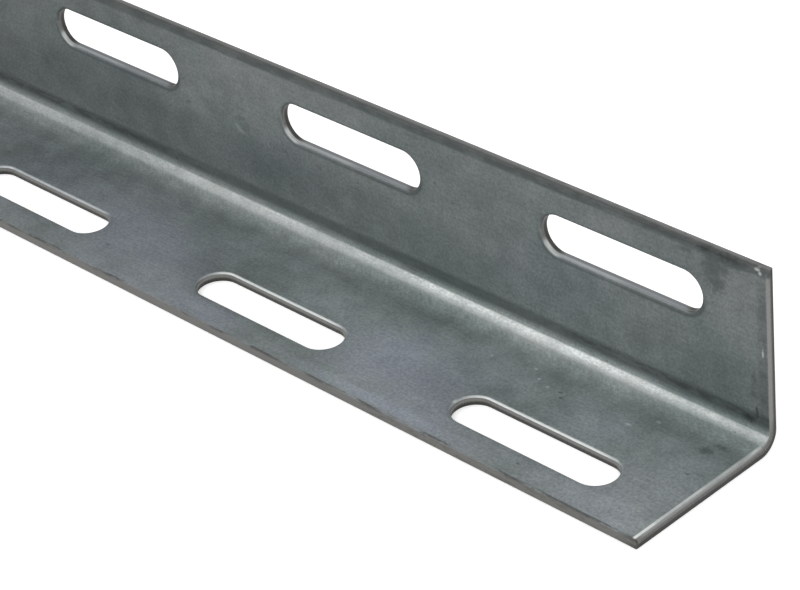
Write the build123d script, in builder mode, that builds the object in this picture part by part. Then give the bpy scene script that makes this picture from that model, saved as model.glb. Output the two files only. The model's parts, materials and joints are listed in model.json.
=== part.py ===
from build123d import *

import os
from math import floor

# A length of slotted angle: one steel strip, punched with a row of slots in each half, then folded
# square along its middle. X runs along the stock. One leg lies on the floor with its free edge
# towards -Y, the other stands up along the back at +Y. The origin is under the middle of the stock.

# The strip and its fold
length = 914.4  # three feet, a length that this stock is sold in
leg_width = 38.1  # each leg, measured over the outside of the fold
sheet_thickness = 1.9  # 14 gauge steel
inner_bend_radius = 2.5
slit_edge_radius = 0.3  # the strip's slit edges, now the free edges of the legs
cut_end_radius = 0.25  # the two ends, dressed after cutting

# The punched slots, alike in both legs and opposite each other
slot_length = 38.8
slot_width = 8.6
slot_line = 26.9  # centre line of the slots, from the outside of the fold
slot_pitch = 70.5  # centre to centre along the stock
least_end_land = 10.0  # metal that stays between the last slot and a cut end
slot_rim_drop = 0.4  # how far the punch drew the rim of each slot down, on the side that it entered

# Worked out from the sizes above
half_length = length / 2
outer_face = leg_width / 2
strip_middle = sheet_thickness / 2
bend_middle_radius = inner_bend_radius + strip_middle
slotted_room = length - slot_length - 2 * least_end_land
slot_count = floor(slotted_room / slot_pitch) + 1

# The face that the punch entered in each leg, with its middle on the line of the slots
floor_leg_face = Plane(origin=(0, outer_face - slot_line, sheet_thickness), x_dir=(1, 0, 0), z_dir=(0, 0, 1))
wall_leg_face = Plane(origin=(0, outer_face - sheet_thickness, slot_line), x_dir=(1, 0, 0), z_dir=(0, -1, 0))

os.makedirs("parts", exist_ok=True)

with BuildPart() as slotted_angle:
    # The section follows the strip's middle line: across the floor leg, round the fold, up the wall leg
    with BuildSketch(Plane.YZ) as section:
        with BuildLine():
            FilletPolyline(
                (-outer_face, strip_middle),
                (outer_face - strip_middle, strip_middle),
                (outer_face - strip_middle, leg_width),
                radius=bend_middle_radius,
            )
        trace(line_width=sheet_thickness)
        floor_leg_edge = section.vertices().group_by(Axis.X)[0]
        wall_leg_edge = section.vertices().group_by(Axis.Y)[-1]
        fillet(floor_leg_edge + wall_leg_edge, radius=slit_edge_radius)
    extrude(amount=half_length, both=True)

    # The slots go through both legs, each one opposite its twin
    with BuildSketch(floor_leg_face, wall_leg_face):
        with GridLocations(slot_pitch, 0, slot_count, 1):
            SlotOverall(slot_length, slot_width)
    extrude(amount=-sheet_thickness, mode=Mode.SUBTRACT)

    # The cut ends are dressed all round the section
    cut_ends = slotted_angle.faces().filter_by(Axis.X).sort_by(Axis.X)
    fillet(cut_ends[0].edges() + cut_ends[-1].edges(), radius=cut_end_radius)

    # The rim of each slot is drawn down on the face that the punch entered
    floor_leg_sides = slotted_angle.faces().filter_by(Axis.Z).sort_by(SortBy.AREA)[-2:]
    wall_leg_sides = slotted_angle.faces().filter_by(Axis.Y).sort_by(SortBy.AREA)[-2:]
    floor_leg_rims = floor_leg_sides.sort_by(Axis.Z)[-1].inner_wires().edges()
    wall_leg_rims = wall_leg_sides.sort_by(Axis.Y)[0].inner_wires().edges()
    chamfer(floor_leg_rims + wall_leg_rims, length=slot_rim_drop)

slotted_angle.part.label = "slotted_angle"
export_step(slotted_angle.part, "parts/slotted_angle.step")
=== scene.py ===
import json
import math
from types import SimpleNamespace

import bpy
import numpy as np
from mathutils import Matrix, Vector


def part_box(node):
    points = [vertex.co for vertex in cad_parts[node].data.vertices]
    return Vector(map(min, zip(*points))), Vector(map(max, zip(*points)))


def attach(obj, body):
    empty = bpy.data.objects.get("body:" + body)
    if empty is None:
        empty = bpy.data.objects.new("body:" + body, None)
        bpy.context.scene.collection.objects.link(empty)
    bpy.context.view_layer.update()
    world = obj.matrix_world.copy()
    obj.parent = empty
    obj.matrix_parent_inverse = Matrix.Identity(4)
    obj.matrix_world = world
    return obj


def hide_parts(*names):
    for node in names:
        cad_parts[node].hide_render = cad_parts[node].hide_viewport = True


# Slotted angle: one punched and folded steel strip, dressed around its CAD frame

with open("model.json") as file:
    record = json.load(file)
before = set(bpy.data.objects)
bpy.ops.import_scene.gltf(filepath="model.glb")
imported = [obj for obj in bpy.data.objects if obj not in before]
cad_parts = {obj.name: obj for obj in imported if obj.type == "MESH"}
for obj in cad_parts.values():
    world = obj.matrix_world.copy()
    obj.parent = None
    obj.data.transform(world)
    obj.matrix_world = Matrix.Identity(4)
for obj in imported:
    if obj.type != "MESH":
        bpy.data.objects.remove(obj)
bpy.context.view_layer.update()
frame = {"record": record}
mm = 0.001
print("frame loaded")

# Sizes that the frame gives
low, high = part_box("slotted_angle")
mounts = {m["name"]: m for m in frame["record"]["mounts"]}
endSlots = mounts["floor_leg_slots_right_end"]
halfLength = high.x
leg = high.z - low.z
outerFace = high.y
sheet = endSlots["pos_m"][2]
slotRadius = endSlots["dims"]["hole_r_mm"] * mm
slotLength = endSlots["dims"]["slot_length_mm"] * mm
slotPitch = endSlots["dims"]["spacing_x_mm"] * mm
slotLine = outerFace - endSlots["pos_m"][1]  # from the outside of the fold
lastSlot = endSlots["pos_m"][0] + slotPitch / 2
slotCount = round(2 * lastSlot / slotPitch) + 1

# What the punch, the brake and the shear left, small sizes that the photograph shows, and how finely the
# strip is divided
strip = {
    "bendRadius": 2.5 * mm,  # inside the fold
    "rimWidth": 0.72 * mm,  # metal drawn down round a slot, where the punch entered
    "rimDrop": 0.40 * mm,
    "breakout": 0.05 * mm,  # how much wider a slot is where the punch came out
    "exitRadius": 0.08 * mm,
    "slitRadius": 0.30 * mm,  # free edges of both legs
    "endRoll": 0.90 * mm,  # sheared ends, rolled over on the inside of the floor leg
    "wallEndRoll": 0.25 * mm,  # and hardly at all on the wall leg
    "endUnder": 0.15 * mm,
    "wallEndUnder": 0.27 * mm,
    "flatBand": 0.12 * mm,  # keeps the sheet dead flat up to each rounded edge
    "rings": (0.9 * mm, 1.8 * mm, 3.0 * mm),  # of faces round a slot, from the edge of its rim
    "ringsBeyond": (0.4, 1.0),  # then by shares of the way to the slot's rectangle of sheet
    "cellReach": 11.0 * mm,  # from the slots' middle line to that rectangle's side at the fold
    "arcSteps": 6,  # in an eighth of a turn round a slot's end
    "straightSteps": 8,  # along a slot's side
    "roundSteps": 6,  # round a rim or an arris
    "exitSteps": 2,
    "dropSteps": 4,  # down a cut wall
    "legSteps": 6,  # across the plain sheet beside the fold
    "foldSteps": 18,
}

# The strip laid flat: s runs across it, from the floor leg's free edge to the wall leg's
halfSheet = sheet / 2
bendOuter = strip["bendRadius"] + sheet
bendMiddle = strip["bendRadius"] + halfSheet
flatLeg = leg - bendOuter
bendArc = bendMiddle * math.pi / 2
wallStart = flatLeg + bendArc
stripWidth = 2 * flatLeg + bendArc
slotX = (np.arange(slotCount) - (slotCount - 1) / 2) * slotPitch
floorSlot = leg - slotLine
wallSlot = stripWidth - floorSlot


# Folds points of the flat strip. x stays. Up to the fold s runs across the floor leg, in the fold it turns
# a quarter circle at the middle radius less h, and after it s climbs the wall leg. h is the height over
# the sheet's middle, towards the inside of the angle.
def foldedStrip(flat):
    x, s, h = flat[..., 0], flat[..., 1], flat[..., 2]
    turn = np.clip((s - flatLeg) / bendMiddle, 0, math.pi / 2)
    radius = bendMiddle - h
    y = -outerFace + np.minimum(s, flatLeg) + radius * np.sin(turn)
    z = bendOuter - radius * np.cos(turn) + np.maximum(s - wallStart, 0)
    return np.stack([x, y, z], -1)


# A patch is a grid of flat-strip points, with a pattern coordinate and the share of cut metal at each. Its
# faces look the other way where it is flipped.
def patch(x, s, h, along, across, cut, flip):
    rows = np.broadcast_arrays(x, s, h, along, across, cut)
    return {"flat": np.stack(rows[:3], -1), "uv": np.stack(rows[3:5], -1), "cut": rows[5], "flip": flip}


# An even turn from 0 to 90 degrees, and the inner points of an even drop from 0 to 1
def quarterTurn(steps):
    return np.radians(np.linspace(0, 90, steps + 1))


def innerDrop():
    return np.linspace(0, 1, strip["dropSteps"] + 1)[1:-1]


# Round a slot: points on its centre line and unit directions, a full turn from the lower right corner.
# A point at distance d from the slot's wall is centre + (slot radius + d) * direction.
def slotTurn():
    q, k = strip["arcSteps"], strip["straightSteps"]
    reach = slotLength / 2 - slotRadius
    straight = np.linspace(reach, -reach, k + 1)[1:-1]
    degrees = np.concatenate([
        np.linspace(-45, 90, 3 * q + 1), np.full(k - 1, 90.0),
        np.linspace(90, 270, 4 * q + 1), np.full(k - 1, 270.0), np.linspace(270, 315, q + 1)])
    centre = np.concatenate([
        np.full(3 * q + 1, reach), straight, np.full(4 * q + 1, -reach), -straight, np.full(q + 1, reach)])
    turn = np.radians(degrees)
    return centre, np.cos(turn), np.sin(turn)


# The rectangle round a slot, as many points as slotTurn, from -1 to 1 each way
def cellTurn():
    side = 2 * strip["arcSteps"]
    far = side + strip["straightSteps"]
    rising = np.linspace(-1, 1, side + 1)[:-1]
    backward = np.linspace(1, -1, far + 1)[:-1]
    x = np.concatenate([np.ones(side), backward, -np.ones(side), np.linspace(-1, 1, far + 1)])
    s = np.concatenate([rising, np.ones(far), -rising, -np.ones(far + 1)])
    return x, s


# Limits of the flat part of the sheet: beyond them the free edges and the ends are rounded
edgeIn = strip["slitRadius"] + strip["flatBand"]
endIn = strip["endRoll"] + strip["flatBand"]
cellEdges = np.concatenate([[-halfLength + endIn], (slotX[1:] + slotX[:-1]) / 2, [halfLength - endIn]])
cellLow = np.array([edgeIn, wallSlot - strip["cellReach"]])
cellHigh = np.array([floorSlot + strip["cellReach"], stripWidth - edgeIn])


# Sheet round the slots, on one face: rings at growing distance from the slot's wall, the last ones
# drawn out in a straight mix to the rectangle halfway to the next slots
def sheetAroundSlots(face, start):
    centre, dx, ds = slotTurn()
    cellX, cellS = cellTurn()
    apart = start + np.array([0, strip["flatBand"], *strip["rings"]])
    reach = slotRadius + apart[:, None]
    out = []
    for side, line in enumerate((floorSlot, wallSlot)):
        for i, middle in enumerate(slotX):
            x = middle + centre + reach * dx
            s = line + reach * ds
            mixX = (cellEdges[i] + cellEdges[i + 1] + cellX * (cellEdges[i + 1] - cellEdges[i])) / 2
            mixS = (cellLow[side] + cellHigh[side] + cellS * (cellHigh[side] - cellLow[side])) / 2
            lastX, lastS = x[-1], s[-1]
            for share in strip["ringsBeyond"]:
                x = np.vstack([x, lastX * (1 - share) + mixX * share])
                s = np.vstack([s, lastS * (1 - share) + mixS * share])
            out.append(patch(x, s, face * halfSheet, x, s, 0.0, face > 0))
    return out


# Wall of every slot: the rim turns down a quarter of an ellipse, the wall widens with the square of its
# depth, where the metal broke, and a small radius ends it on the far face
def slotWalls():
    centre, dx, ds = slotTurn()
    rim, leave, wider = strip["rimDrop"], strip["exitRadius"], strip["breakout"]
    entering, leaving, drop = quarterTurn(strip["roundSteps"]), quarterTurn(strip["exitSteps"]), innerDrop()
    land = sheet - rim - leave
    d = np.concatenate([
        strip["rimWidth"] * (1 - np.sin(entering)), wider * drop ** 2,
        wider + leave * (1 - np.cos(leaving))])
    h = np.concatenate([
        halfSheet - rim * (1 - np.cos(entering)), halfSheet - rim - land * drop,
        -halfSheet + leave * (1 - np.sin(leaving))])
    lateInRim = 12  # power that keeps the coating on a rim until it is nearly upright
    cut = np.concatenate([np.sin(entering) ** lateInRim, np.ones(len(drop) + len(leaving))])
    out = []
    for line in (floorSlot, wallSlot):
        for middle in slotX:
            x = middle + centre + (slotRadius + d[:, None]) * dx
            s = line + (slotRadius + d[:, None]) * ds
            along = np.concatenate([[0], np.cumsum(np.hypot(np.diff(x[0]), np.diff(s[0])))]) + middle
            out.append(patch(x, s, h[:, None], along, h[:, None], cut[:, None], False))
    return out


# Lines along the stock, the same for the slot cells and for the fold between them
def lengthLines():
    far = 2 * strip["arcSteps"] + strip["straightSteps"]
    share = np.linspace(0, 1, far + 1)
    lines = cellEdges[:-1, None] * (1 - share) + cellEdges[1:, None] * share
    return np.concatenate([lines[:, :-1].ravel(), cellEdges[-1:]])


# Lines across the strip between the two rows of slot cells, closer together towards the fold and in it
def foldLines():
    closer = 0.4  # how much further apart than an even spacing the first lines stand, and closer the last
    share = np.linspace(0, 1, strip["legSteps"] + 1)
    share = share * (1 + closer - closer * share)
    floorSide = cellHigh[0] + (flatLeg - strip["flatBand"] - cellHigh[0]) * share
    arc = flatLeg + bendArc * np.linspace(0, 1, strip["foldSteps"] + 1)
    return np.concatenate([floorSide, arc, stripWidth - floorSide[::-1]])


# Sheet between the two rows of slot cells, on one face: a grid of those lines
def foldFace(face):
    x, s = lengthLines()[None, :], foldLines()[:, None]
    return patch(x, s, face * halfSheet, x, s, 0.0, face < 0)


# Profile of an edge: it turns over the inner arris by one radius, crosses the sheet and turns under by
# another. The power says how late in the first turn the metal shows as cut.
def edgeProfile(radius, under, cutPower):
    band = strip["flatBand"]
    turn, drop = quarterTurn(strip["roundSteps"]), innerDrop()
    out = np.concatenate([
        [-band], radius * np.sin(turn), np.full(len(drop), radius),
        radius - under * (1 - np.cos(turn)), [-band]])
    h = np.concatenate([
        [halfSheet], halfSheet - radius * (1 - np.cos(turn)),
        halfSheet - radius - (sheet - radius - under) * drop,
        -halfSheet + under * (1 - np.sin(turn)), [-halfSheet]])
    cut = np.concatenate([[0], np.sin(turn) ** cutPower, np.ones(len(drop)), np.sqrt(np.cos(turn)), [0]])
    return out + band, h, cut


# The border of the strip: the edge profile carried round the outline and mitred at the four corners. Along
# an end it changes in the fold from the floor leg's profile to the wall leg's.
def stripBorder():
    side = np.linspace(0, 1, 2 * strip["arcSteps"] + 1)
    floorSide = cellLow[0] + (cellHigh[0] - cellLow[0]) * side
    across = np.concatenate([floorSide, foldLines()[1:-1], stripWidth - floorSide[::-1]])
    lengthwise = lengthLines()
    right, top = np.full(len(across), lengthwise[-1]), np.full(len(lengthwise), across[-1])
    x = np.concatenate([lengthwise[:-1], right[:-1], lengthwise[::-1][:-1], -right])
    s = np.concatenate([np.full(len(lengthwise) - 1, across[0]), across[:-1], top[:-1], across[::-1]])
    outX = np.where(x > lengthwise[-2], 1.0, np.where(x < lengthwise[1], -1.0, 0.0))
    slack = 0.1 * mm
    outS = np.where(s < across[1] - slack, -1.0, np.where(s > across[-2] + slack, 1.0, 0.0))
    floorEnd = edgeProfile(strip["endRoll"], strip["endUnder"], cutPower=2)
    wallEnd = edgeProfile(strip["wallEndRoll"], strip["wallEndUnder"], cutPower=2)
    wallEnd[0][1:-1] += strip["endRoll"] - strip["wallEndRoll"]
    onWall = np.clip((s - flatLeg) / bendArc, 0, 1)
    onWall = onWall * onWall * (3 - 2 * onWall)
    endOut, endH, endCut = (
        a[:, None] * (1 - onWall) + b[:, None] * onWall for a, b in zip(floorEnd, wallEnd))
    slitOut, slitH, slitCut = edgeProfile(strip["slitRadius"], strip["slitRadius"], cutPower=0.5)
    slitCut = slitCut / 2  # slit long before it was coated, so it never shows torn metal
    share = np.abs(outX) / (np.abs(outX) + np.abs(outS))
    h = endH * share + slitH[:, None] * (1 - share)
    cut = endCut * share + slitCut[:, None] * (1 - share)
    along = np.concatenate([[0], np.cumsum(np.hypot(np.diff(x), np.diff(s)))])
    return patch(x + outX * endOut, s + outS * slitOut[:, None], h, along, h, cut, True)


# Joins patches into one mesh: points that fall together are merged, faces are quads of the grids
def joinedMesh(name, patches):
    flat = np.concatenate([p["flat"].reshape(-1, 3) for p in patches])
    uv = np.concatenate([p["uv"].reshape(-1, 2) for p in patches])
    cut = np.concatenate([p["cut"].ravel() for p in patches])
    faces, first = [], 0
    for p in patches:
        index = first + np.arange(p["cut"].size).reshape(p["cut"].shape)
        corners = [index[:-1, :-1], index[:-1, 1:], index[1:, 1:], index[1:, :-1]]
        corners = np.stack(corners, -1).reshape(-1, 4)
        faces.append(corners[:, ::-1] if p["flip"] else corners)
        first += p["cut"].size
    faces = np.concatenate(faces)
    mergeStep = 1e-4 * mm
    offRound = 0.137  # so that no size of the strip falls on the limit between two steps
    steps = np.round(flat / mergeStep + offRound).astype(np.int64)
    kept, merged = np.unique(steps, axis=0, return_index=True, return_inverse=True)[1:]
    points = foldedStrip(flat[kept])
    corners = merged.ravel()[faces]
    mesh = bpy.data.meshes.new(name)
    mesh.vertices.add(len(points))
    mesh.vertices.foreach_set("co", points.astype(np.float32).ravel())
    mesh.loops.add(corners.size)
    mesh.loops.foreach_set("vertex_index", corners.astype(np.int32).ravel())
    mesh.polygons.add(len(corners))
    mesh.polygons.foreach_set("loop_start", np.arange(0, corners.size, 4, dtype=np.int32))
    mesh.polygons.foreach_set("use_smooth", np.ones(len(corners), bool))
    mesh.update(calc_edges=True)
    mesh.uv_layers.new(name="strip").data.foreach_set("uv", uv[faces].astype(np.float32).ravel())
    mesh.attributes.new("cut", "FLOAT", "POINT").data.foreach_set("value", cut[kept].astype(np.float32))
    laidFlat = mesh.attributes.new("laidFlat", "FLOAT_VECTOR", "POINT")
    laidFlat.data.foreach_set("vector", flat[kept].astype(np.float32).ravel())
    piece = bpy.data.objects.new(name, mesh)
    bpy.context.scene.collection.objects.link(piece)
    print(name, len(points), "points", len(corners), "faces")
    return piece


angle = joinedMesh("angle_strip", [
    *sheetAroundSlots(1, strip["rimWidth"]),
    *sheetAroundSlots(-1, strip["breakout"] + strip["exitRadius"]),
    *slotWalls(), foldFace(1), foldFace(-1), stripBorder()])


# A node with its settings and inputs: a socket is linked, anything else is set
def shaderNode(tree, kind, inputs=None, **settings):
    made = tree.nodes.new("ShaderNode" + kind)
    for name, value in settings.items():
        setattr(made, name, value)
    for key, value in (inputs or {}).items():
        if isinstance(value, bpy.types.NodeSocket):
            tree.links.new(value, made.inputs[key])
        else:
            made.inputs[key].default_value = value
    return made


def mathOf(tree, operation, *values):
    return shaderNode(tree, "Math", dict(enumerate(values)), operation=operation).outputs[0]


def product(tree, *factors):
    out = factors[0]
    for factor in factors[1:]:
        out = mathOf(tree, "MULTIPLY", out, factor)
    return out


def oneLess(tree, share):
    return mathOf(tree, "SUBTRACT", 1.0, share)


# first where a share is 0, last where it is 1, in a straight line
def between(tree, share, first, last):
    return mathOf(tree, "MULTIPLY_ADD", share, last - first, first)


# first up to low and last from high on, with a soft step between; low may be the larger of the two
def softStep(tree, value, low, high, first=0.0, last=1.0):
    inputs = {"Value": value, "From Min": low, "From Max": high, "To Min": first, "To Max": last}
    return shaderNode(tree, "MapRange", inputs, interpolation_type="SMOOTHSTEP").outputs[0]


# 1 between low and high, falling softly to 0 within the given widths outside them
def softBand(tree, value, low, high, below, above):
    rise = softStep(tree, value, low - below, low)
    return product(tree, rise, softStep(tree, value, high + above, high))


# Noise with forms of the given size; a stretch below 1 draws them out along that axis
def noiseOf(tree, place, size, detail, stretch=(1, 1, 1), roughness=0.5, shift=0.0):
    inputs = {"Vector": place, "Scale": stretch, "Location": (shift, shift, shift)}
    mapped = shaderNode(tree, "Mapping", inputs).outputs[0]
    inputs = {"Vector": mapped, "Scale": 1 / size, "Detail": detail, "Roughness": roughness}
    return shaderNode(tree, "TexNoise", inputs).outputs[0]


def mixColour(tree, share, first, second, kind="MIX"):
    inputs = {0: share, 6: first, 7: second}
    return shaderNode(tree, "Mix", inputs, data_type="RGBA", blend_type=kind).outputs[2]


# Colours and grain of the strip, sizes in metres
zincSteel = {
    "grey": (0.255, 0.276, 0.272, 1),
    "teal": (0.208, 0.237, 0.233, 1),
    # the floor leg's grey, paler than the wall leg's as painted light
    "floorGrey": (0.272, 0.297, 0.306, 1),
    "blue": (0.292, 0.318, 0.362, 1),
    "pale": (0.720, 0.750, 0.740, 1),  # painted highlight
    # painted highlights and glints, and bright scuffs
    "bright": (0.900, 0.920, 0.900, 1),
    "dark": (0.075, 0.085, 0.085, 1),  # pits and stains, and painted shade
    "brown": (0.150, 0.140, 0.132, 1),
    "shorn": (0.215, 0.215, 0.208, 1),  # cut metal near the face that the tool entered
    "torn": (0.060, 0.060, 0.056, 1),  # and where it broke; also painted shade in dark lines
    "slitEdge": (0.155, 0.153, 0.147, 1),
    # cut metal on the wall leg's sills, paler than shorn as painted light
    "sill": (0.290, 0.307, 0.322, 1),
    "black": (0.020, 0.024, 0.024, 1),
    "patchSize": 24 * mm,
    "bloomSize": 33.6 * mm,
    "cloudSize": 5 * mm,
    "grainSize": 0.55 * mm,
    "ridge": 0.70,  # how far into the bend the painted highlight reaches, as a share of the bend
    "scratchAngle": -45,  # of the scratches that lean across the strip beside the fold, in degrees
    "roughness": (0.40, 0.50),
    "rubbedRoughness": 0.54,
    "grainHeight": 0.03 * mm,
    "dent": (320.6, 55.9, 2.6, 2.4),  # a half moon knocked into the wall leg, placed like the marks
    "dentDepth": 0.25 * mm,
}
ridge = flatLeg + zincSteel["ridge"] * bendArc

# Marks that the photograph shows. Each kind has a colour, a strength and its places: x along the stock
# and s across the flat strip, with the reach each way, in millimetres
marks = {
    "stains": ("dark", 0.72, [
        (445.1, 68.7, 3.9, 3.4), (445.8, 66.4, 3.0, 3.2), (448.2, 71.2, 4.0, 1.2), (435.0, 72.1, 5.0, 0.5),
        (447.2, 69.6, 2.6, 1.6)]),
    "shadows": ("dark", 0.42, [
        (453.9, 45.9, 1.3, 1.0), (453.7, 49.5, 0.7, 2.8), (451.2, 30.0, 2.6, 1.0), (449.6, 27.6, 2.2, 1.6)]),
    "blackened": ("black", 0.6, [
        (452.4, 40.3, 2.3, 1.3), (454.3, 42.6, 0.6, 1.8), (448.3, 72.2, 4.4, 0.9), (443.6, 72.4, 2.4, 0.8)]),
    "glints": ("bright", 0.38, [(455.2, 72.5, 0.8, 0.5), (455.8, 71.9, 0.6, 0.5)]),
    "pits": ("dark", 0.6, [
        (333.3, 54.1, 0.7, 0.4), (354.0, 54.0, 0.5, 0.4), (297.2, 40.1, 0.8, 0.7), (416.8, 25.2, 0.5, 0.4),
        (418.0, 23.9, 0.5, 0.4), (451.4, 20.2, 0.6, 0.35), (418.6, 38.2, 0.4, 0.35),
        (425.8, 4.0, 0.5, 0.35)]),
    "specks": ("dark", 0.5, [
        (380.3, 68.9, 0.5, 0.7), (380.6, 58.9, 0.6, 0.5), (376.2, 61.9, 0.6, 0.5), (304.0, 55.9, 1.0, 0.4),
        (303.2, 61.1, 0.6, 0.4), (292.0, 71.0, 1.1, 0.4), (450.2, 35.4, 0.5, 0.4), (307.5, 7.7, 0.8, 0.5)]),
    "rust": ("brown", 0.5, [(343.0, 53.7, 1.2, 1.2), (367.5, 39.2, 3.0, 0.5)]),
    # bright spots: painted glints and highlights, with some scuffs
    "scuffs": ("bright", 0.55, [
        (433.2, 25.2, 1.1, 0.45), (437.2, 29.1, 1.0, 0.5), (413.6, 25.0, 0.6, 0.4), (407.9, 28.1, 0.6, 0.4),
        (410.6, 26.0, 0.5, 0.35), (398.2, 26.3, 0.4, 0.5), (456.0, 55.4, 0.3, 1.2),
        (403.1, 11.0, 0.4, 0.9)]),
    "blooms": ("blue", 0.85, [
        (384.0, 14.0, 21.0, 13.0), (312.0, 15.0, 22.0, 12.0), (392.0, 2.4, 30.0, 2.4),
        (340.0, 3.5, 15.0, 3.4)]),
}
firstMarks = ("stains", "shadows", "pits", "specks", "rust", "scuffs")  # laid before the cut metal
lastMarks = ("blackened", "glints")  # and over everything else


# A share of one of the strip's colours over another colour
def painted(tree, colour, paint, share):
    return mixColour(tree, share, colour, zincSteel[paint])


# Distance from a place on the strip, in reaches: 1 at the rim of a mark
def reachFrom(tree, flat, x, s, reachX, reachS):
    inputs = {0: flat, 1: (1 / (reachX * mm), 1 / (reachS * mm), 0), 2: (-x / reachX, -s / reachS, 0)}
    moved = shaderNode(tree, "VectorMath", inputs, operation="MULTIPLY_ADD").outputs[0]
    return shaderNode(tree, "VectorMath", {0: moved}, operation="LENGTH").outputs["Value"]


# Lays one kind of mark over a colour, ragged at their rims
def markedOver(tree, at, colour, kind, ragged, where):
    paint, strength, places = marks[kind]
    nearest = reachFrom(tree, at.flat, *places[0])
    for place in places[1:]:
        nearest = mathOf(tree, "MINIMUM", nearest, reachFrom(tree, at.flat, *place))
    share = softStep(tree, mathOf(tree, "MULTIPLY_ADD", ragged, 1.1, nearest), 1.6, 0.7)
    return painted(tree, colour, paint, product(tree, share, where, strength))


# Where a point lies on the flat strip, how far it is cut metal, and the noises that more than one layer of
# the material uses
def sheetPlaces(tree):
    at = SimpleNamespace()
    at.flat = shaderNode(tree, "Attribute", attribute_name="laidFlat").outputs["Vector"]
    at.along, at.across, at.height = shaderNode(tree, "SeparateXYZ", {0: at.flat}).outputs
    at.cut = shaderNode(tree, "Attribute", attribute_name="cut").outputs["Fac"]
    at.onCut = shaderNode(tree, "TexCoord").outputs["UV"]
    at.inside = softStep(tree, at.height, -0.2 * mm, 0.2 * mm)
    at.clouds = noiseOf(tree, at.flat, zincSteel["cloudSize"], 4)
    at.grain = noiseOf(tree, at.flat, zincSteel["grainSize"], 4, roughness=0.7)
    at.drawn = noiseOf(tree, at.flat, 0.5 * mm, 3, (0.06, 1, 1))
    at.ragged = noiseOf(tree, at.flat, 1.1 * mm, 3)
    turned = {"Vector": at.flat, "Rotation": (0, 0, math.radians(zincSteel["scratchAngle"]))}
    leaning = shaderNode(tree, "Mapping", turned).outputs[0]
    at.leaning = softStep(tree, noiseOf(tree, leaning, 0.45 * mm, 3, (1, 0.12, 1), 0.6), 0.25, 0.75)
    at.uneven = softStep(tree, noiseOf(tree, at.flat, 7 * mm, 3, (1, 1, 1), 0.6, 5.3), 0.3, 0.7)
    return at


# Adds how far the point is from the middle of its slot along the stock, from the slot's wall and from the
# nearer end, and whether it is on the wall leg, on the sill of a slot there, or on neither free edge
def slotPlaces(tree, at):
    pitches = mathOf(tree, "MULTIPLY_ADD", at.along, 1 / slotPitch, 0.5)
    pitches = mathOf(tree, "FRACT", pitches)
    at.fromMiddle = mathOf(tree, "MULTIPLY_ADD", pitches, slotPitch, -slotPitch / 2)
    at.fromEnd = mathOf(tree, "SUBTRACT", halfLength, mathOf(tree, "ABSOLUTE", at.along))
    at.betweenEdges = softBand(tree, at.across, 0.6 * mm, stripWidth - 0.6 * mm, 0.3 * mm, 0.3 * mm)
    beside = mathOf(tree, "ABSOLUTE", at.fromMiddle)
    at.onWallLeg = softStep(tree, at.across, wallStart, wallStart + 3 * mm)
    at.onSill = product(tree, at.onWallLeg, softStep(tree, beside, 17 * mm, 14 * mm))
    pastEnd = mathOf(tree, "SUBTRACT", beside, slotLength / 2 - slotRadius)
    pastEnd = mathOf(tree, "MAXIMUM", pastEnd, 0.0)
    offLine = mathOf(tree, "ABSOLUTE", mathOf(tree, "SUBTRACT", at.across, stripWidth / 2))
    offLine = mathOf(tree, "SUBTRACT", offLine, stripWidth / 2 - floorSlot)
    offSlot = shaderNode(tree, "CombineXYZ", {0: pastEnd, 1: offLine}).outputs[0]
    offSlot = shaderNode(tree, "VectorMath", {0: offSlot}, operation="LENGTH").outputs["Value"]
    at.offSlot = mathOf(tree, "SUBTRACT", offSlot, slotRadius)


# Coating in broad patches of two greys, the floor leg's one paler as painted light, with blue blooms on the
# floor leg
def coatingColour(tree, at):
    look = zincSteel
    patches = noiseOf(tree, at.flat, look["patchSize"], 3)
    blooms = noiseOf(tree, at.flat, look["bloomSize"], 3, shift=3.1)
    floorLeg = softStep(tree, at.across, flatLeg, flatLeg - 9 * mm)
    plain = mixColour(tree, floorLeg, look["grey"], look["floorGrey"])
    colour = mixColour(tree, softStep(tree, patches, 0.35, 0.65), look["teal"], plain)
    blooming = product(tree, softStep(tree, blooms, 0.50, 0.70), floorLeg, 0.5)
    colour = painted(tree, colour, "blue", blooming)
    return markedOver(tree, at, colour, "blooms", at.clouds, floorLeg)


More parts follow.
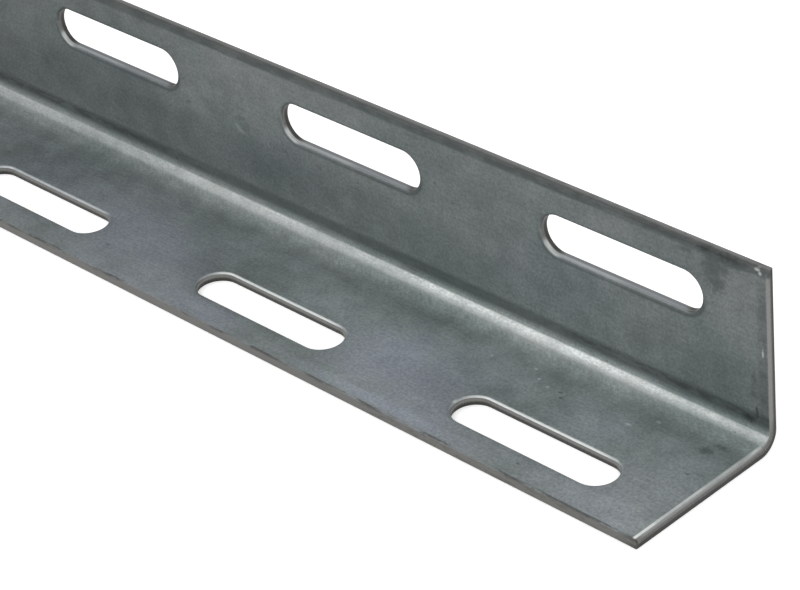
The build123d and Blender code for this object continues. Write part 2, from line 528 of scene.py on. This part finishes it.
# Tone of the coating, as a factor: clouds, grain and drawn lines, with painted light paler towards the fold
# on the floor leg and towards +X, and painted shade darker up the wall leg and at its foot. The middle of
# the floor leg turns from darker to paler towards +X.
def coatingTone(tree, at):
    along, across = at.along, at.across
    tone = softStep(tree, at.clouds, 0.2, 0.8, 0.88, 1.12)
    tone = product(tree, tone, softStep(tree, at.grain, 0.2, 0.8, 0.75, 1.25))
    tone = product(tree, tone, softStep(tree, at.drawn, 0.2, 0.8, 0.94, 1.06))
    paintedSheenNearFold = softBand(tree, across, flatLeg - 7 * mm, flatLeg, 16 * mm, 1 * mm)
    paintedSheenNearFold = product(tree, paintedSheenNearFold, softStep(tree, along, 270 * mm, 390 * mm, 0.25, 0.50))
    paintedLightTowardsEnd = softStep(tree, along, 325 * mm, 395 * mm)
    paintedLightTowardsEnd = product(tree, paintedLightTowardsEnd, softStep(tree, across, 24 * mm, 15 * mm), 0.15)
    paintedShadeUpWall = softStep(tree, across, wallStart - 2 * mm, stripWidth)
    paintedShadeUpWall = product(tree, paintedShadeUpWall, softStep(tree, along, 310 * mm, 280 * mm, 0.30, 0.39))
    paintedShadeAtFoot = softBand(tree, across, wallStart + 3 * mm, wallStart + 9 * mm, 1 * mm, 8 * mm)
    paintedShadeAtFoot = product(tree, paintedShadeAtFoot, softStep(tree, along, 372 * mm, 346 * mm, 0.09, 0.20))
    darkerMiddle = softBand(tree, across, flatLeg - 13 * mm, flatLeg - 9 * mm, 5 * mm, 4 * mm)
    darkerMiddle = product(tree, darkerMiddle, softStep(tree, along, 345 * mm, 305 * mm, -0.06, 0.06))
    darkerBands = mathOf(tree, "ADD", darkerMiddle, paintedShadeAtFoot)
    for paler in (paintedSheenNearFold, paintedLightTowardsEnd):
        tone = mathOf(tree, "MULTIPLY_ADD", tone, paler, tone)
    return product(tree, tone, oneLess(tree, paintedShadeUpWall), oneLess(tree, darkerBands))


# Both sides of the fold are paler too, as a painted highlight, the floor leg's in scratches that lean across
# the strip
def foldTone(tree, at, tone):
    paintedHighlightBelow = softBand(tree, at.across, flatLeg - 0.5 * mm, flatLeg + 1.4 * mm, 5 * mm, 1.4 * mm)
    paintedHighlightBelow = product(tree, paintedHighlightBelow, at.inside, between(tree, at.leaning, 0.31, 0.63))
    above = softBand(tree, at.across, ridge, flatLeg + 0.84 * bendArc, 0.4 * mm, 1.0 * mm)
    above = product(tree, above, at.inside, softStep(tree, at.along, 350 * mm, 385 * mm, 0.22, 0.35))
    for paler in (paintedHighlightBelow, above):
        tone = mathOf(tree, "MULTIPLY_ADD", tone, paler, tone)
    return tone


# Fold: a painted highlight up to the ridge in the bend, strongest over a stretch towards +X, with a brighter
# painted line on the ridge itself
def highlightedFold(tree, at, colour):
    along, across = at.along, at.across
    jagged = mathOf(tree, "MULTIPLY_ADD", at.leaning, 1.6 * mm, across)
    foldHighlight = softStep(tree, jagged, flatLeg - 0.8 * mm, flatLeg + 1.8 * mm)
    foldHighlight = product(tree, foldHighlight, softStep(tree, across, ridge + 0.5 * mm, ridge))
    lengthwise = softBand(tree, along, 318 * mm, 428 * mm, 40 * mm, 30 * mm)
    elsewhere = softStep(tree, noiseOf(tree, at.flat, 160 * mm, 2, shift=0.7), 0.5, 0.65)
    elsewhere = product(tree, elsewhere, softStep(tree, along, 200 * mm, 100 * mm))
    highlightAlongX = mathOf(tree, "MAXIMUM", lengthwise, elsewhere)
    most = softBand(tree, along, 377 * mm, 412 * mm, 25 * mm, 24 * mm)
    highlightAlongX = mathOf(tree, "MULTIPLY_ADD", highlightAlongX, 0.41, between(tree, most, 0.20, 0.53))
    granular = softStep(tree, noiseOf(tree, at.flat, 0.40 * mm, 4, (0.6, 1, 1), 0.75), 0.3, 0.7)
    brightest = softBand(tree, across, flatLeg + 0.60 * bendArc, ridge, 1.7 * mm, 0.5 * mm)
    brightest = product(tree, brightest, softStep(tree, along, 340 * mm, 410 * mm, 0.20, 0.51))
    foldHighlight = mathOf(tree, "ADD", product(tree, foldHighlight, highlightAlongX, 0.6), brightest)
    foldHighlight = product(tree, foldHighlight, at.inside, between(tree, granular, 0.40, 1.06))
    foldHighlight = product(tree, foldHighlight, between(tree, at.uneven, 0.75, 1.10))
    colour = painted(tree, colour, "pale", foldHighlight)
    ridgeLine = softBand(tree, across, ridge - 0.30 * mm, ridge - 0.12 * mm, 0.15 * mm, 0.12 * mm)
    ridgeLine = product(tree, ridgeLine, at.inside, highlightAlongX, at.uneven, granular)
    ridgeLine = product(tree, ridgeLine, softStep(tree, along, 380 * mm, 430 * mm, 0.6, 1.3))
    return painted(tree, colour, "bright", ridgeLine)


# Painted shade in a line beside the fold on the wall leg, black in streaks
def shadedFoot(tree, at, colour):
    darkening = softBand(tree, at.across, wallStart + 0.9 * mm, wallStart + 2.3 * mm, 1.0 * mm, 1.3 * mm)
    darkening = product(tree, darkening, at.inside, between(tree, at.clouds, 0.34, 0.94))
    colour = painted(tree, colour, "dark", darkening)
    streaks = softStep(tree, noiseOf(tree, at.flat, 1.3 * mm, 4, (0.25, 1, 1), 0.65, 2.3), 0.40, 0.60)
    blackest = softBand(tree, at.across, wallStart + 1.3 * mm, wallStart + 2.2 * mm, 0.5 * mm, 0.5 * mm)
    towardsLeft = softStep(tree, at.along, 312 * mm, 280 * mm)
    patchy = mathOf(tree, "MAXIMUM", towardsLeft, softStep(tree, at.along, 398 * mm, 412 * mm))
    blackest = product(tree, blackest, streaks, at.inside, between(tree, patchy, 0.16, 0.58))
    return painted(tree, colour, "torn", blackest)


# Cut metal: shorn clean first, then torn, with streaks through the sheet. It tears earlier at the floor
# leg's ends; round the wall leg's slots it is darker as painted shade, but on their sills paler and less
# torn as painted light.
def cutMetal(tree, at, colour):
    look = zincSteel
    torn = softStep(tree, at.height, 0.35 * mm, -0.55 * mm)
    earlierTearAndShade = product(tree, mathOf(tree, "SUBTRACT", at.onWallLeg, at.onSill), 0.3)
    atEnd = softStep(tree, at.fromEnd, 1.6 * mm, 1.2 * mm)
    earlierTearAndShade = mathOf(tree, "MULTIPLY_ADD", atEnd, between(tree, at.onWallLeg, 0.35, -0.30), earlierTearAndShade)
    torn = mathOf(tree, "ADD", torn, earlierTearAndShade)
    tearing = noiseOf(tree, at.onCut, 0.35 * mm, 3, (1, 0.12, 1))
    torn = softStep(tree, mathOf(tree, "MULTIPLY_ADD", tearing, 0.7, torn), 0.2, 1.3)
    torn = product(tree, torn, softStep(tree, at.cut, 0.5, 0.9), between(tree, at.onSill, 1.0, 0.4))
    shorn = mixColour(tree, at.onSill, look["shorn"], look["sill"])
    shorn = mixColour(tree, at.betweenEdges, look["slitEdge"], shorn)
    cutColour = painted(tree, shorn, "torn", torn)
    return mixColour(tree, softStep(tree, at.cut, 0.0, 0.5), colour, cutColour)


# Rims of the floor leg's slots, bright with a painted highlight, most on the side of the fold and towards +X
def floorRims(tree, at, colour):
    clear = product(tree, at.betweenEdges, softStep(tree, at.fromEnd, 1.2 * mm, 1.6 * mm))
    foldSide = softStep(tree, at.across, floorSlot + 1 * mm, floorSlot + 3.5 * mm)
    line = product(tree, foldSide, softStep(tree, at.fromMiddle, 16 * mm, 12 * mm))
    rimHighlight = softBand(tree, at.height, 0.75 * mm, 0.92 * mm, 0.10 * mm, 0.02 * mm)
    rimHighlight = product(tree, rimHighlight, clear, between(tree, line, 0.20, 0.47))
    rimHighlight = product(tree, rimHighlight, oneLess(tree, at.onWallLeg))
    rimHighlight = product(tree, rimHighlight, softStep(tree, at.along, 302 * mm, 334 * mm, 0.5, 1.0))
    return painted(tree, colour, "bright", rimHighlight)


# Rims of the wall leg's slots: a painted highlight in the lower left corner, painted shade along the lower
# side, darker in its right half, with a pale painted highlight line on the left half of the sill
def wallRims(tree, at, colour):
    cornerHighlight = softBand(tree, at.fromMiddle, -18.6 * mm, -16.6 * mm, 0.7 * mm, 2.2 * mm)
    cornerHighlight = product(tree, cornerHighlight, at.onWallLeg, softStep(tree, at.offSlot, 0.60 * mm, 0.30 * mm))
    cornerHighlight = product(tree, cornerHighlight, softStep(tree, at.height, -0.1 * mm, 0.4 * mm))
    cornerHighlight = product(tree, cornerHighlight, softStep(tree, at.across, wallSlot - 1 * mm, wallSlot - 3 * mm), 0.55)
    colour = painted(tree, colour, "pale", cornerHighlight)
    below = softStep(tree, at.across, wallSlot + 2 * mm, wallSlot - 3 * mm)
    rimShade = softBand(tree, at.offSlot, 0.35 * mm, 0.80 * mm, 0.25 * mm, 0.35 * mm)
    rimShade = product(tree, rimShade, at.inside, at.onWallLeg, below, 0.42)
    rightHalf = softStep(tree, at.fromMiddle, -3 * mm, 3 * mm)
    duller = softBand(tree, at.offSlot, 0.02 * mm, 0.70 * mm, 0.10 * mm, 0.8 * mm)
    duller = product(tree, duller, softStep(tree, at.height, 0.35 * mm, 0.65 * mm), at.onWallLeg, below)
    duller = product(tree, duller, between(tree, rightHalf, 0.10, 0.28))
    colour = painted(tree, colour, "dark", mathOf(tree, "ADD", rimShade, duller))
    sillHighlight = softBand(tree, at.height, 0.15 * mm, 0.60 * mm, 0.2 * mm, 0.15 * mm)
    sillHighlight = product(tree, sillHighlight, at.onSill, below, oneLess(tree, rightHalf))
    sillHighlight = product(tree, sillHighlight, softStep(tree, at.offSlot, 0.5 * mm, 0.3 * mm), 0.22)
    return painted(tree, colour, "pale", sillHighlight)


# Free edge of the wall leg: blotchy darkening that spreads at the +X end, a dark line under the arris as
# painted shade that stops short of that end, and a little paler on the slit metal as a painted highlight
def topEdge(tree, at, colour, blotches):
    top = stripWidth
    darkening = softBand(tree, at.across, top - 1.15 * mm, top, 0.8 * mm, 1 * mm)
    darkening = product(tree, darkening, softStep(tree, at.height, -1.1 * mm, 0.5 * mm))
    colour = painted(tree, colour, "dark", product(tree, darkening, between(tree, blotches, 0.60, 0.92)))
    line = softStep(tree, at.across, top - 0.85 * mm, top - 0.45 * mm)
    line = product(tree, line, softStep(tree, at.height, 0.55 * mm, 0.85 * mm))
    line = product(tree, line, softStep(tree, at.along, 415 * mm, 435 * mm, 0.22, 0.44))
    line = product(tree, line, softStep(tree, at.fromEnd, 2 * mm, 5 * mm))
    colour = painted(tree, colour, "torn", line)
    paler = softBand(tree, at.height, -0.9 * mm, -0.1 * mm, 0.1 * mm, 0.5 * mm)
    paler = product(tree, paler, softStep(tree, at.across, top - 0.3 * mm, top - 0.1 * mm), 0.10)
    colour = painted(tree, colour, "pale", paler)
    spread = softBand(tree, at.across, top - 2.0 * mm, top - 0.4 * mm, 1.2 * mm, 0.4 * mm)
    spread = product(tree, spread, at.inside, blotches)
    spread = product(tree, spread, softStep(tree, at.along, 424 * mm, 440 * mm), 0.7)
    return painted(tree, colour, "dark", spread)


# Free edge of the floor leg: a dark streaky line along its arris as painted shade, and flecks on the slit
# metal of both legs
def slitEdges(tree, at, colour):
    streaky = softStep(tree, noiseOf(tree, at.flat, 1.2 * mm, 4, (0.15, 1, 1), 0.7), 0.48, 0.60)
    arris = softBand(tree, at.across, 0.15 * mm, 0.45 * mm, 0.2 * mm, 0.3 * mm)
    colour = painted(tree, colour, "torn", product(tree, arris, streaky, 0.7))
    flecks = softStep(tree, noiseOf(tree, at.onCut, 0.9 * mm, 4, (0.3, 1, 1), 0.7), 0.50, 0.62)
    flecks = product(tree, flecks, oneLess(tree, at.betweenEdges))
    flecks = product(tree, flecks, softStep(tree, at.along, 380 * mm, 400 * mm), 0.4)
    return painted(tree, colour, "torn", flecks)


# Sheared ends: blotchy darkening on the wall leg, and a painted highlight line on the floor leg where the
# shear began to roll the metal over
def shearedEnds(tree, at, colour, blotches):
    darkening = softBand(tree, at.fromEnd, 0.5 * mm, 1.5 * mm, 0.4 * mm, 1.4 * mm)
    darkening = product(tree, darkening, at.onWallLeg, at.inside, between(tree, blotches, 0.18, 0.48))
    colour = painted(tree, colour, "dark", darkening)
    rollHighlight = softBand(tree, at.fromEnd, 0.68 * mm, 1.05 * mm, 0.2 * mm, 0.2 * mm)
    rollHighlight = product(tree, rollHighlight, softStep(tree, at.across, 0.2 * mm, 0.7 * mm), at.inside)
    rollHighlight = product(tree, rollHighlight, softStep(tree, at.across, flatLeg + 2 * mm, flatLeg - 1 * mm))
    return painted(tree, colour, "bright", product(tree, rollHighlight, between(tree, at.uneven, 0.6, 1.05)))


# Roughness: in clouds, a little more on cut metal, and even on the rubbed fold
def stripRoughness(tree, at):
    rough = between(tree, at.clouds, *zincSteel["roughness"])
    rough = mathOf(tree, "MULTIPLY_ADD", at.cut, 0.05, rough)
    onFold = softBand(tree, at.across, flatLeg - 0.5 * mm, wallStart - 1 * mm, 3 * mm, 1.5 * mm)
    inputs = {0: onFold, 2: rough, 3: zincSteel["rubbedRoughness"]}
    return shaderNode(tree, "Mix", inputs).outputs[0]


# Normal of the strip: grain and drawn lines stand up from it, and the dent falls in towards -X
def stripRelief(tree, at):
    raised = mathOf(tree, "MULTIPLY_ADD", at.drawn, 0.6, at.grain)
    inputs = {"Height": raised, "Strength": 0.3, "Distance": zincSteel["grainHeight"]}
    grained = shaderNode(tree, "Bump", inputs).outputs[0]
    dent = zincSteel["dent"]
    knocked = softStep(tree, reachFrom(tree, at.flat, *dent), 1.0, 0.4)
    leftHalf = softStep(tree, at.along, (dent[0] + 3) * mm, (dent[0] - 1.5) * mm)
    knocked = product(tree, knocked, leftHalf, at.inside)
    inputs = {"Height": knocked, "Strength": 1.0, "Distance": -zincSteel["dentDepth"], "Normal": grained}
    return shaderNode(tree, "Bump", inputs).outputs[0]


# The layers one over another, as bare metal with the colour, roughness and relief that they give
def zincSteelMaterial():
    material = bpy.data.materials.new("zinc_coated_steel")
    material.use_nodes = True
    tree = material.node_tree
    at = sheetPlaces(tree)
    tone = foldTone(tree, at, coatingTone(tree, at))
    colour = mixColour(tree, 1.0, coatingColour(tree, at), tone, "MULTIPLY")
    colour = highlightedFold(tree, at, colour)
    colour = shadedFoot(tree, at, colour)
    for kind in firstMarks:
        colour = markedOver(tree, at, colour, kind, at.ragged, at.inside)
    slotPlaces(tree, at)
    colour = cutMetal(tree, at, colour)
    colour = floorRims(tree, at, colour)
    colour = wallRims(tree, at, colour)
    blotches = softStep(tree, noiseOf(tree, at.flat, 2.5 * mm, 4, (0.45, 1, 1), 0.65), 0.42, 0.60)
    colour = topEdge(tree, at, colour, blotches)
    colour = slitEdges(tree, at, colour)
    colour = shearedEnds(tree, at, colour, blotches)
    for kind in lastMarks:
        colour = markedOver(tree, at, colour, kind, at.ragged, at.inside)
    shader = tree.nodes["Principled BSDF"]
    shader.inputs["Metallic"].default_value = 1.0
    tree.links.new(colour, shader.inputs["Base Color"])
    tree.links.new(stripRoughness(tree, at), shader.inputs["Roughness"])
    tree.links.new(stripRelief(tree, at), shader.inputs["Normal"])
    return material


angle.data.materials.append(zincSteelMaterial())
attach(angle, "root")
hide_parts("slotted_angle")
print("strip built")


# A white room with a pale floor that glows a little, as in a cut-out photograph
studio = {
    "floorSize": 12.0,
    "floorColour": (0.90, 0.90, 0.90, 1),
    "floorGlow": 0.45,
    "floorRoughness": 0.9,
    "floorSpecular": 0.1,
    "world": (1.0, 1.0, 1.0, 1),
    "worldStrength": (0.25, 0.74),  # towards -X, where the room is darker, and elsewhere
    "worldFall": (-0.84, -0.52),  # and between which directions along X it changes
    "viewTransform": "Standard",
}


def buildFloor():
    half = studio["floorSize"] / 2
    mesh = bpy.data.meshes.new("floor")
    corners = [(-half, -half, 0), (half, -half, 0), (half, half, 0), (-half, half, 0)]
    mesh.from_pydata(corners, [], [(0, 1, 2, 3)])
    floor = bpy.data.objects.new("floor", mesh)
    bpy.context.scene.collection.objects.link(floor)
    material = bpy.data.materials.new("pale_floor")
    material.use_nodes = True
    shader = material.node_tree.nodes["Principled BSDF"]
    shader.inputs["Base Color"].default_value = studio["floorColour"]
    shader.inputs["Roughness"].default_value = studio["floorRoughness"]
    shader.inputs["Emission Color"].default_value = studio["floorColour"]
    shader.inputs["Emission Strength"].default_value = studio["floorGlow"]
    shader.inputs["Specular IOR Level"].default_value = studio["floorSpecular"]
    mesh.materials.append(material)


def buildWorld():
    world = bpy.data.worlds.new("studio")
    world.use_nodes = True
    tree = world.node_tree
    background = tree.nodes["Background"]
    background.inputs["Color"].default_value = studio["world"]
    facing = shaderNode(tree, "TexCoord").outputs["Generated"]
    towards = shaderNode(tree, "SeparateXYZ", {0: facing}).outputs[0]
    strength = softStep(tree, towards, *studio["worldFall"], *studio["worldStrength"])
    tree.links.new(strength, background.inputs["Strength"])
    bpy.context.scene.world = world
    bpy.context.scene.view_settings.view_transform = studio["viewTransform"]


# Rotation that looks along a direction, level, then rolled about it by so many degrees
def turnedTo(facing, roll=0.0):
    back = -facing / np.linalg.norm(facing)
    right = np.cross([0, 0, 1], back)
    right /= np.linalg.norm(right)
    turn = Matrix(np.column_stack([right, np.cross(back, right), back])).to_4x4()
    return turn @ Matrix.Rotation(math.radians(roll), 4, "Z")


# name: place, point it faces, size across and down, power in watts
softLights = {
    "overhead": ((-1.0, -0.3, 1.9), (0.3, 0.0, 0.0), (1.6, 0.9), 6),
    "key": ((-1.40, -1.88, 1.42), (0.38, 0.0, 0.0), (1.0, 2.0), 13),
    "front": ((0.90, -1.90, 1.90), (0.35, 0.0, 0.0), (1.2, 1.0), 11),
    "rear": ((1.9, 1.9, 1.9), (0.3, 0.0, 0.0), (2.0, 1.6), 14),
    "window": ((-1.2, 1.9, 1.6), (0.3, 0.0, 0.0), (2.0, 1.4), 6),
}


def buildLights():
    for name, (place, target, size, power) in softLights.items():
        lamp = bpy.data.lights.new(name, "AREA")
        lamp.shape, lamp.size, lamp.size_y, lamp.energy = "RECTANGLE", size[0], size[1], power
        light = bpy.data.objects.new(name, lamp)
        bpy.context.scene.collection.objects.link(light)
        facing = np.array(target, float) - np.array(place, float)
        light.matrix_world = Matrix.Translation(place) @ turnedTo(facing)


# The photograph's view, fitted to the stock's edges and slots
view = {
    "place": (0.73559, -0.31556, 0.31272),
    "azimuth": 48.235,  # degrees from +Y towards -X
    "elevation": 32.324,  # looking down
    "roll": -5.920,
    "lens": 133.98,
    "sensor": 36.0,
    "clipStart": 0.01,
}


def buildCamera():
    data = bpy.data.cameras.new("camera")
    data.sensor_width, data.lens, data.clip_start = view["sensor"], view["lens"], view["clipStart"]
    camera = bpy.data.objects.new("camera", data)
    bpy.context.scene.collection.objects.link(camera)
    azimuth, elevation = math.radians(view["azimuth"]), math.radians(view["elevation"])
    level = math.cos(elevation)
    facing = np.array([-math.sin(azimuth) * level, math.cos(azimuth) * level, -math.sin(elevation)])
    camera.matrix_world = Matrix.Translation(view["place"]) @ turnedTo(facing, view["roll"])
    bpy.context.scene.camera = camera


buildFloor()
buildWorld()
buildLights()
buildCamera()
print("studio ready")
